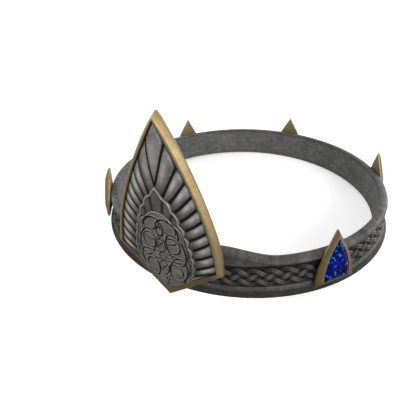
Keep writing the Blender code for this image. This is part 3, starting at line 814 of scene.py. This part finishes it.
def weave_levels(strands):
    """Over and under along each strand, so that it goes over and under by turns."""
    found = crossings(strands)
    passes = {i: [] for i in range(len(strands))}
    for number, pair in enumerate(found):
        for end, (strand, place) in enumerate(pair):
            passes[strand].append((place, number, end))
    for strand in passes:
        passes[strand].sort()
    state = {}
    for strand, rows in passes.items():
        pending = []
        if rows[0][1:] not in state:
            pending.append((strand, 0, 1))
        while pending:
            which, index, level = pending.pop()
            count = len(passes[which])
            for step in range(count):
                number, end = passes[which][(index + step) % count][1:]
                if (number, end) in state:
                    continue
                value = level if step % 2 == 0 else -level
                state[(number, end)] = value
                far_pass = (number, 1 - end)
                if far_pass not in state:
                    other = found[number][1 - end][0]
                    there = [row[1:] for row in passes[other]].index(far_pass)
                    pending.append((other, there, -value))
    levels = []
    for strand, path in enumerate(strands):
        places = np.array([row[0] for row in passes[strand]])
        values = np.array([state[row[1:]] for row in passes[strand]], dtype=float)
        count = len(path)
        places = np.concatenate((places - count, places, places + count))
        values = np.tile(values, 3)
        here = np.arange(count, dtype=float)
        low = np.searchsorted(places, here, side="right") - 1
        share = (here - places[low]) / np.maximum(places[low + 1] - places[low], 1e-6)
        levels.append(values[low] + (values[low + 1] - values[low]) * ease(share))
    return levels


def knot_lines(u, z):
    """Dark lines along the knot's strands, painted shade in their grooves, broken where another passes
    over, and a lip beside each with a painted highlight on its upper left side.
    """
    row_step = np.gradient(z, axis=0)
    column_step = np.maximum(np.gradient(u, axis=1), 0.005)
    strands = knot_strands()
    layers = []
    for path, level in zip(strands, weave_levels(strands)):
        closed = np.vstack((path, path[:1]))
        near, place = line_distance(u, z, closed)[:2]
        lengths = np.cumsum(np.linalg.norm(np.diff(closed, axis=0), axis=1))
        here = np.interp(place, np.append(0.0, lengths), np.append(level, level[0]))
        off_u, off_z = np.gradient(near, axis=1) / column_step, np.gradient(near, axis=0) / row_step
        layers.append((near, here, off_u, off_z))
    dark = np.zeros(u.shape)
    light = np.zeros(u.shape)
    for number, (near, here, off_u, off_z) in enumerate(layers):
        hidden = np.zeros(u.shape, dtype=bool)
        for other, (other_near, other_here, other_u, other_z) in enumerate(layers):
            if other != number:
                steep = np.abs(off_u * other_z - off_z * other_u) > STEEP_CROSSING
                hidden |= steep & (other_near < STRAND_HALF_WIDTH) & (other_here > here + 0.05)
        width = LINE_HALF_WIDTH * (TWIST_LINE_SHARE if number == len(layers) - 1 else 1.0)
        dark = np.maximum(dark, np.exp(-(near / width) ** 4) * ~hidden)
        lip = np.exp(-((near - 0.78) / 0.26) ** 2) * ~hidden * ease(0.5 + 0.9 * off_z - 0.5 * off_u)
        light = np.maximum(light, lip)
    return dark, light


def medallion(u, z, height, recess, edge):
    """The raised field with its rim, which has a painted highlight, and the knot's engraved lines, painted
    dark as shade, with a painted shadow round its edge.
    """
    right = [np.array(row) for row in MEDALLION]
    loop = right + [row * np.array((-1.0, 1.0)) for row in reversed(right[1:-1])]
    loop.append(loop[0])
    distance, side = line_distance(u, z, loop)[::2]
    middle = np.unravel_index(np.argmin(np.hypot(u, z - MEDALLION_MIDDLE_Z)), u.shape)
    inside = distance * side * side[middle]
    dark, light = knot_lines(u, z)
    level = MEDALLION_RISE - 0.1 + 0.15 * light - 0.4 * dark
    rim = np.exp(-((inside - 0.5) / 0.3) ** 2) * ease((z - 36.0) / 8.0)
    line = np.exp(-((inside - 1.15) / 0.22) ** 2) * ease((z - 12.0) / 8.0)
    level = level + 0.15 * rim - 0.3 * line
    body = ease((inside + 0.15) / 0.4)
    height = height * (1 - body) + level * body
    # Painted shadow round the medallion; inside it, painted shade in the lines, along the line inside the
    # rim and a little over the ground, and painted highlights on the rim and the lips
    painted_shadow = np.exp(-(np.minimum(inside, 0.0) / 0.4) ** 2) * (inside < 0.1)
    dark = np.maximum(dark, 0.85 * line)
    recess = np.where(inside > 0.1, np.clip(0.95 * dark + 0.12, 0.0, 1.0), np.maximum(recess, 0.85 * painted_shadow))
    edge = np.where(inside > 0.1, np.maximum(0.46 * light, 0.7 * rim) * (1 - dark), edge * (1 - painted_shadow))
    return height, recess, edge


def field_places(rows_z, columns):
    """Places across the silver field, from edge to edge at each height."""
    half = np.maximum(field_half_width(rows_z), 0.01)
    u = half[:, None] * np.linspace(-1.0, 1.0, columns)[None, :]
    return u, np.repeat(rows_z[:, None], columns, axis=1)


def make_plate(look):
    """The relief and its smooth hollow back, as one closed shell."""
    knot_z = np.linspace(OUTLINE[-1][1], KNOT_TOP_Z, RELIEF_ROWS[0] + 1)
    upper_z = np.linspace(KNOT_TOP_Z, OUTLINE[0][1], RELIEF_ROWS[1] + 1)[1:]
    u, z = field_places(np.concatenate((knot_z, upper_z)), RELIEF_COLUMNS + 1)
    height, recess, edge = outer_feathers(u, z)
    height, recess, edge = short_feathers(u, z, height, recess, edge)
    height, recess, edge = medallion(u, z, height, recess, edge)
    places = np.stack((u, -dome(u, z) - height, z), axis=2)
    plate = shaped_grid("feather_plate", places)
    # Painted shade and painted highlights of the relief
    paint(plate, "recess", recess)
    paint(plate, "edge", edge)
    u, z = field_places(np.linspace(OUTLINE[-1][1], OUTLINE[0][1], BACK_ROWS), BACK_COLUMNS)
    back = shaped_grid("plate_back", np.stack((u, PLATE_WALL - dome(u, z), z), axis=2))
    paint(back, "recess", np.full(u.shape, BACK_TARNISH))
    paint(back, "edge", np.zeros(u.shape))
    for piece in (plate, back):
        tidy_mesh(piece, 0.002)
    deselect()
    back.select_set(True)
    plate.select_set(True)
    bpy.context.view_layer.objects.active = plate
    bpy.ops.object.join()
    edit_mode(plate, "DESELECT")
    bpy.ops.mesh.select_mode(type="EDGE")
    bpy.ops.mesh.select_non_manifold()
    bpy.ops.mesh.bridge_edge_loops()
    face_outwards()
    smooth(plate, 70)
    return finish(plate, look, "antiqued_silver", "front_plate")


def make_border(look):
    """Gold border: a rounded section carried round the plate's outline."""
    right = half_outline(6)
    left = right[-2:0:-1] * np.array((-1.0, 1.0, -1.0, 1.0, 1.0, 1.0))
    stations = np.vstack((right, left))
    # share across from the silver to the outer edge, depth behind the front, share of the fall, recess
    # (painted shade, darkest along the silver)
    section = (
        (0.03, 0.2, 0.0, 1.0), (0.05, -0.25, 0.0, 0.7), (0.11, -0.38, 0.0, 0.4),
        (0.24, -0.42, 0.02, 0.22), (0.38, -0.36, 0.07, 0.12), (0.5, -0.24, 0.16, 0.04),
        (0.61, -0.06, 0.32, 0.0), (0.74, 0.08, 0.54, 0.0), (0.87, 0.16, 0.78, 0.1),
        (0.97, 0.2, 0.96, 0.26), (1.0, 0.42, 1.0, 0.45),
    )
    rings = []
    recess = []
    for field_u, field_z, gold_u, gold_z, fall, back in stations:
        inner, outer = np.array((field_u, field_z)), np.array((gold_u, gold_z))
        # Painted shade, also on the back; below the shoulder it is evened out towards 0.6, darkening the
        # fronts of the lower edges
        below = float(ease((21.0 - field_z) / 5.0))
        ring = [(*(inner + (outer - inner) * 0.03), back)]
        shades = [0.8]
        for share, depth, share_of_fall, shade in section:
            ring.append((*(inner + (outer - inner) * share), FIELD_FRONT - depth - share_of_fall * fall))
            shades.append(shade + (0.6 - shade) * below)
        ring.append((*(inner + (outer - inner) * 0.985), back + 0.25))
        ring.append((*(inner + (outer - inner) * 0.93), back))
        rings.append([(u, -depth, z) for u, z, depth in ring])
        recess.append(shades + [0.5, 0.5, 0.8])
    rings.append(rings[0])
    recess.append(recess[0])
    border = closed_loft("gold_border", rings, recess, np.zeros(len(rings)), caps=False)
    smooth(border, 38)
    return finish(border, look, "satin_gold", "plate_border")


# Settings and stones

def point_loop(first, steps):
    """Closed loop of one outline of the settings' table, its long sides curved."""
    rows = [(row[first], row[first + 1]) for row in POINT]
    side = smooth_rows(rows[1:], (0, 1), steps)
    right = np.vstack((rows[0], side))
    return np.vstack((right, right[-2::-1] * np.array((-1.0, 1.0))))


def on_setting(loop, off, azimuth):
    """Places on a setting's leaning plane, in mm."""
    out = np.array((math.sin(azimuth), -math.cos(azimuth), 0.0))
    across = np.array((math.cos(azimuth), math.sin(azimuth), 0.0))
    up = np.array((0.0, 0.0, math.cos(SETTING_LEAN))) - out * math.sin(SETTING_LEAN)
    lean_out = out * math.cos(SETTING_LEAN) + np.array((0.0, 0.0, math.sin(SETTING_LEAN)))
    back = SETTING_BACK_RADIUS + RIM_FACE_TOP * math.tan(SETTING_LEAN)
    foot = out * back + lean_out * (SETTING_SLAB + off)
    return [tuple(foot + across * u + up * v) for u, v in loop]


def make_setting(name, node, azimuth, look):
    frame_edge = point_loop(0, 3)
    bed = point_loop(2, 3)
    rings = [
        on_setting(frame_edge * np.array((0.97, 1.0)), -SETTING_SLAB, azimuth),
        on_setting(frame_edge, -0.15, azimuth),
        on_setting(frame_edge * 0.985 + bed * 0.015, 0.1, azimuth),
        on_setting(frame_edge * 0.45 + bed * 0.55, 1.15, azimuth),
        on_setting(grown(bed, POINT_MIDDLE_V, 0.75), SETTING_CREST - 0.12, azimuth),
        on_setting(grown(bed, POINT_MIDDLE_V, 0.5), SETTING_CREST, azimuth),
        on_setting(grown(bed, POINT_MIDDLE_V, 0.18), SETTING_CREST - 0.1, azimuth),
        on_setting(grown(bed, POINT_MIDDLE_V, 0.12), 0.2, azimuth),
    ]
    # Painted shade on each ring, darkest beside the stone, and a faint lighter crest; the front left
    # setting has 0.3 of the painted shade
    shade = 0.3 if name == PAINTED_LIGHT_POINT else 1.0
    recess = np.array((0.0, 0.5, 0.74, 0.62, 0.5, 0.52, 0.9, 1.0)) * shade
    edge = (0.0, 0.0, 0.0, 0.0, 0.05, 0.1, 0.0, 0.0)
    setting = closed_loft(name, rings, recess, edge)
    smooth(setting, 28)
    return finish(setting, look, "satin_gold", node)


def make_stone(name, node, azimuth, look):
    girdle = point_loop(2, 1)
    table = point_loop(4, 1)
    rings = [
        on_setting(grown(girdle, POINT_MIDDLE_V, -0.1), 0.35, azimuth),
        on_setting(girdle, SETTING_CREST - 0.25, azimuth),
        on_setting(grown(girdle, POINT_MIDDLE_V, -0.05), SETTING_CREST, azimuth),
        on_setting(table, SETTING_CREST + STONE_TABLE, azimuth),
    ]
    stone = closed_loft(name, rings, np.zeros(len(rings)), np.zeros(len(rings)))
    bevelled(stone, 0.12, 2, 8)
    smooth(stone, 6)
    return finish(stone, look, "blue_stone", node)


# Materials

def add_node(tree, kind, **values):
    node = tree.nodes.new(kind)
    for key, value in values.items():
        if key in node.inputs:
            node.inputs[key].default_value = value
        else:
            setattr(node, key, value)
    return node


def math_node(tree, operation, first, second, clamp=False):
    node = tree.nodes.new("ShaderNodeMath")
    node.operation = operation
    node.use_clamp = clamp
    for socket, value in zip(node.inputs, (first, second)):
        if isinstance(value, (int, float)):
            socket.default_value = value
        else:
            tree.links.new(value, socket)
    return node.outputs[0]


def mix_colour(tree, share, first, second):
    node = tree.nodes.new("ShaderNodeMix")
    node.data_type = "RGBA"
    sockets = (node.inputs["Factor"], node.inputs[6], node.inputs[7])
    for socket, value in zip(sockets, (share, first, second)):
        if isinstance(value, (int, float, tuple)):
            socket.default_value = value
        else:
            tree.links.new(value, socket)
    return node.outputs[2]


def noise(tree, place, scale, detail, low, high, distortion=0.0):
    """Noise stretched so that low and high become 0 and 1."""
    node = add_node(
        tree, "ShaderNodeTexNoise", Scale=scale, Detail=detail, Roughness=0.6, Distortion=distortion,
    )
    tree.links.new(place, node.inputs["Vector"])
    stretch = add_node(tree, "ShaderNodeMapRange")
    stretch.inputs["From Min"].default_value = low
    stretch.inputs["From Max"].default_value = high
    tree.links.new(node.outputs["Fac"], stretch.inputs["Value"])
    return stretch.outputs["Result"]


def metal_group():
    """Cast metal with wear: colour, roughness and height from its recess numbers (painted shade), its edge
    numbers (rubbed edges and painted highlights), mottle and scratches.
    """
    group = bpy.data.node_groups.new("cast_metal_wear_and_painted_light", "ShaderNodeTree")
    face = group.interface
    for way, kind, names in (
        ("INPUT", "NodeSocketColor", ("Metal", "Patina", "Rubbed", "Warm Stain")),
        ("INPUT", "NodeSocketFloat", ("Recess", "Edge", "Mottle", "Roughness")),
        ("OUTPUT", "NodeSocketColor", ("Color",)),
        ("OUTPUT", "NodeSocketFloat", ("Roughness", "Height")),
    ):
        for name in names:
            face.new_socket(name=name, in_out=way, socket_type=kind)
    start = group.nodes.new("NodeGroupInput")
    end = group.nodes.new("NodeGroupOutput")

    def times(first, second, clamp=False):
        return math_node(group, "MULTIPLY", first, second, clamp)

    def plus(first, second, clamp=False):
        return math_node(group, "ADD", first, second, clamp)

    place = group.nodes.new("ShaderNodeTexCoord").outputs["Object"]
    mottle = noise(group, place, 260.0, 5.0, 0.36, 0.66, 0.4)
    cloud = noise(group, place, 75.0, 3.0, 0.35, 0.68)
    grain = noise(group, place, 2200.0, 3.0, 0.3, 0.72)
    stain = noise(group, place, 420.0, 4.0, 0.54, 0.74, 0.8)
    stretched = add_node(group, "ShaderNodeMapping")
    stretched.inputs["Scale"].default_value = (1.0, 1.0, 14.0)
    stretched.inputs["Rotation"].default_value = (0.5, 0.3, 0.2)
    group.links.new(place, stretched.inputs["Vector"])
    scratch = noise(group, stretched.outputs["Vector"], 260.0, 4.0, 0.6, 0.78)
    level = add_node(group, "ShaderNodeMapping")
    level.inputs["Scale"].default_value = (1.0, 1.0, 2.6)
    group.links.new(place, level.inputs["Vector"])
    bloom = noise(group, level.outputs["Vector"], 150.0, 4.0, 0.48, 0.68, 0.5)
    share, recess = start.outputs["Mottle"], start.outputs["Recess"]
    patina_and_shade, rubbed = start.outputs["Patina"], start.outputs["Rubbed"]
    variation = times(plus(mottle, cloud), share)
    stained = plus(times(stain, share), times(recess, 0.7), True)
    colour = mix_colour(group, stained, start.outputs["Metal"], start.outputs["Warm Stain"])
    colour = mix_colour(group, times(variation, 0.34, True), colour, patina_and_shade)
    colour = mix_colour(group, times(times(bloom, share), 0.32), colour, rubbed)
    # Painted shade: the recess numbers darken the colour towards the near-black patina
    colour = mix_colour(group, times(recess, 1.05, True), colour, patina_and_shade)
    # Painted highlights and rubbed edges: the edge numbers lighten the colour towards the rubbed metal
    wear_and_highlight = times(start.outputs["Edge"], plus(0.55, times(grain, 0.4)), True)
    colour = mix_colour(group, wear_and_highlight, colour, rubbed)
    colour = mix_colour(group, times(scratch, 0.16), colour, rubbed)
    rough = plus(plus(start.outputs["Roughness"], times(variation, 0.12)), times(recess, 0.25), True)
    tall = plus(times(mottle, 0.5), times(grain, 0.22))
    tall = math_node(group, "SUBTRACT", tall, times(scratch, 0.2))
    group.links.new(colour, end.inputs["Color"])
    group.links.new(rough, end.inputs["Roughness"])
    group.links.new(tall, end.inputs["Height"])
    return group


def metal(name, group, colours, mottle, roughness, metallic, bump, painted):
    """A metal from the shared metal group. painted says that its meshes carry recess and edge numbers:
    painted shade, and painted highlights with rubbed wear.
    """
    look = bpy.data.materials.new(name)
    look.use_nodes = True
    tree = look.node_tree
    shader = tree.nodes["Principled BSDF"]
    shader.inputs["Metallic"].default_value = metallic
    wear_and_highlight = tree.nodes.new("ShaderNodeGroup")
    wear_and_highlight.node_tree = group
    for key, value in zip(("Metal", "Patina", "Rubbed", "Warm Stain"), colours):
        wear_and_highlight.inputs[key].default_value = (*value, 1.0)
    wear_and_highlight.inputs["Mottle"].default_value = mottle
    wear_and_highlight.inputs["Roughness"].default_value = roughness
    if painted:
        for key in ("recess", "edge"):
            source = add_node(tree, "ShaderNodeAttribute", attribute_name=key)
            tree.links.new(source.outputs["Fac"], wear_and_highlight.inputs[key.capitalize()])
    tree.links.new(wear_and_highlight.outputs["Color"], shader.inputs["Base Color"])
    tree.links.new(wear_and_highlight.outputs["Roughness"], shader.inputs["Roughness"])
    relief = add_node(tree, "ShaderNodeBump", Strength=bump, Distance=0.12 * MM)
    tree.links.new(wear_and_highlight.outputs["Height"], relief.inputs["Height"])
    tree.links.new(relief.outputs["Normal"], shader.inputs["Normal"])
    return look


def stone_material():
    """Deep blue stone, clouded darker, with turquoise flecks."""
    look = bpy.data.materials.new("flecked_blue_stone")
    look.use_nodes = True
    tree = look.node_tree
    shader = tree.nodes["Principled BSDF"]
    place = tree.nodes.new("ShaderNodeTexCoord").outputs["Object"]
    cloud = noise(tree, place, 300.0, 3.0, 0.46, 0.6, 1.2)
    blue = mix_colour(tree, cloud, (0.0005, 0.0004, 0.003, 1.0), (0.0008, 0.001, 0.19, 1.0))
    pool = noise(tree, place, 240.0, 2.0, 0.54, 0.62, 0.6)
    brighter = mix_colour(tree, math_node(tree, "MULTIPLY", pool, 0.7), blue, (0.001, 0.006, 0.42, 1.0))
    fleck = noise(tree, place, 400.0, 1.0, 0.635, 0.675, 0.9)
    final = mix_colour(tree, fleck, brighter, (0.006, 0.3, 0.33, 1.0))
    tree.links.new(final, shader.inputs["Base Color"])
    shader.inputs["Specular IOR Level"].default_value = 0.12
    rough = math_node(tree, "ADD", 0.2, math_node(tree, "MULTIPLY", cloud, 0.06))
    tree.links.new(rough, shader.inputs["Roughness"])
    relief = add_node(tree, "ShaderNodeBump", Strength=0.12, Distance=0.05 * MM)
    tree.links.new(fleck, relief.inputs["Height"])
    tree.links.new(relief.outputs["Normal"], shader.inputs["Normal"])
    shader.inputs["IOR"].default_value = 1.5
    return look


# Floor and light

def add_floor():
    """A pale floor that touches the plate's tip and the rear of the band, on which the circlet rests."""
    tip_y = AXIS_Y - TIP_REACH
    rear_y = AXIS_Y + REAR_REACH
    tilt = math.atan2(FOOT_Z, rear_y - tip_y)
    deselect()
    bpy.ops.mesh.primitive_plane_add(
        size=FLOOR_SIZE, location=(0.0, tip_y, -FLOOR_DROP), rotation=(tilt, 0.0, 0.0),
    )
    floor = take("floor")
    look = bpy.data.materials.new("pale_floor")
    look.use_nodes = True
    shader = look.node_tree.nodes["Principled BSDF"]
    for key, value in (
        ("Base Color", (0.94, 0.94, 0.94, 1.0)), ("Roughness", 0.8), ("Specular IOR Level", 0.1),
        ("Emission Color", (1.0, 1.0, 1.0, 1.0)), ("Emission Strength", 0.3),
    ):
        shader.inputs[key].default_value = value
    floor.data.materials.append(look)
    floor.visible_glossy = False
    floor.visible_diffuse = False


def add_light(name, way, strength, spread):
    """A broad soft light that shines from the given way."""
    lamp = bpy.data.lights.new(name, "SUN")
    lamp.energy = strength
    lamp.angle = math.radians(spread)
    made = bpy.data.objects.new(name, lamp)
    bpy.context.scene.collection.objects.link(made)
    made.location = way
    made.rotation_euler = (-Vector(way)).to_track_quat("-Z", "Y").to_euler()


def add_studio():
    sky = bpy.data.worlds.new("studio")
    bpy.context.scene.world = sky
    sky.use_nodes = True
    tree = sky.node_tree
    way = tree.nodes.new("ShaderNodeTexCoord").outputs["Generated"]
    split = tree.nodes.new("ShaderNodeSeparateXYZ")
    tree.links.new(way, split.inputs["Vector"])
    rise = tree.nodes.new("ShaderNodeMapRange")
    for key, value in (("From Min", -0.4), ("From Max", 0.8), ("To Min", 0.3), ("To Max", 0.66)):
        rise.inputs[key].default_value = value
    tree.links.new(split.outputs["Z"], rise.inputs["Value"])
    backdrop = tree.nodes.new("ShaderNodeLightPath").outputs["Is Camera Ray"]
    strength = math_node(tree, "MAXIMUM", rise.outputs["Result"], backdrop)
    tree.nodes["Background"].inputs["Color"].default_value = (1.0, 1.0, 1.0, 1.0)
    tree.links.new(strength, tree.nodes["Background"].inputs["Strength"])
    for name, lamp in LAMPS.items():
        add_light(name, *lamp)
    bpy.context.scene.view_settings.view_transform = "Standard"


def main():
    add_camera()
    add_studio()
    add_floor()
    group = metal_group()
    silver = metal("antiqued_silver_plate", group, *PLATE_SILVER, True)
    band_silver = metal("antiqued_silver_band", group, *BAND_SILVER, True)
    plait_silver = metal("antiqued_silver_plait", group, *PLAIT_SILVER, True)
    plain_silver = metal("antiqued_silver_plain", group, *BAND_SILVER, False)
    gold = metal("satin_gold_worn", group, *WORN_GOLD, True)
    stone = stone_material()
    make_band(band_silver)
    make_strand("plait_strand_a", 0, plait_silver)
    make_strand("plait_strand_b", 1, plait_silver)
    make_plate(silver)
    make_border(gold)
    for place, degrees in POINT_ANGLES.items():
        azimuth = math.radians(degrees)
        make_setting("point_" + place, "setting_" + place, azimuth, gold)
        make_stone("gem_" + place, "stone_" + place, azimuth, stone)
    for side in ("left", "right"):
        post = frame["nodes"]["plate_post_" + side]
        post.data.materials.clear()
        post.data.materials.append(plain_silver)


main()
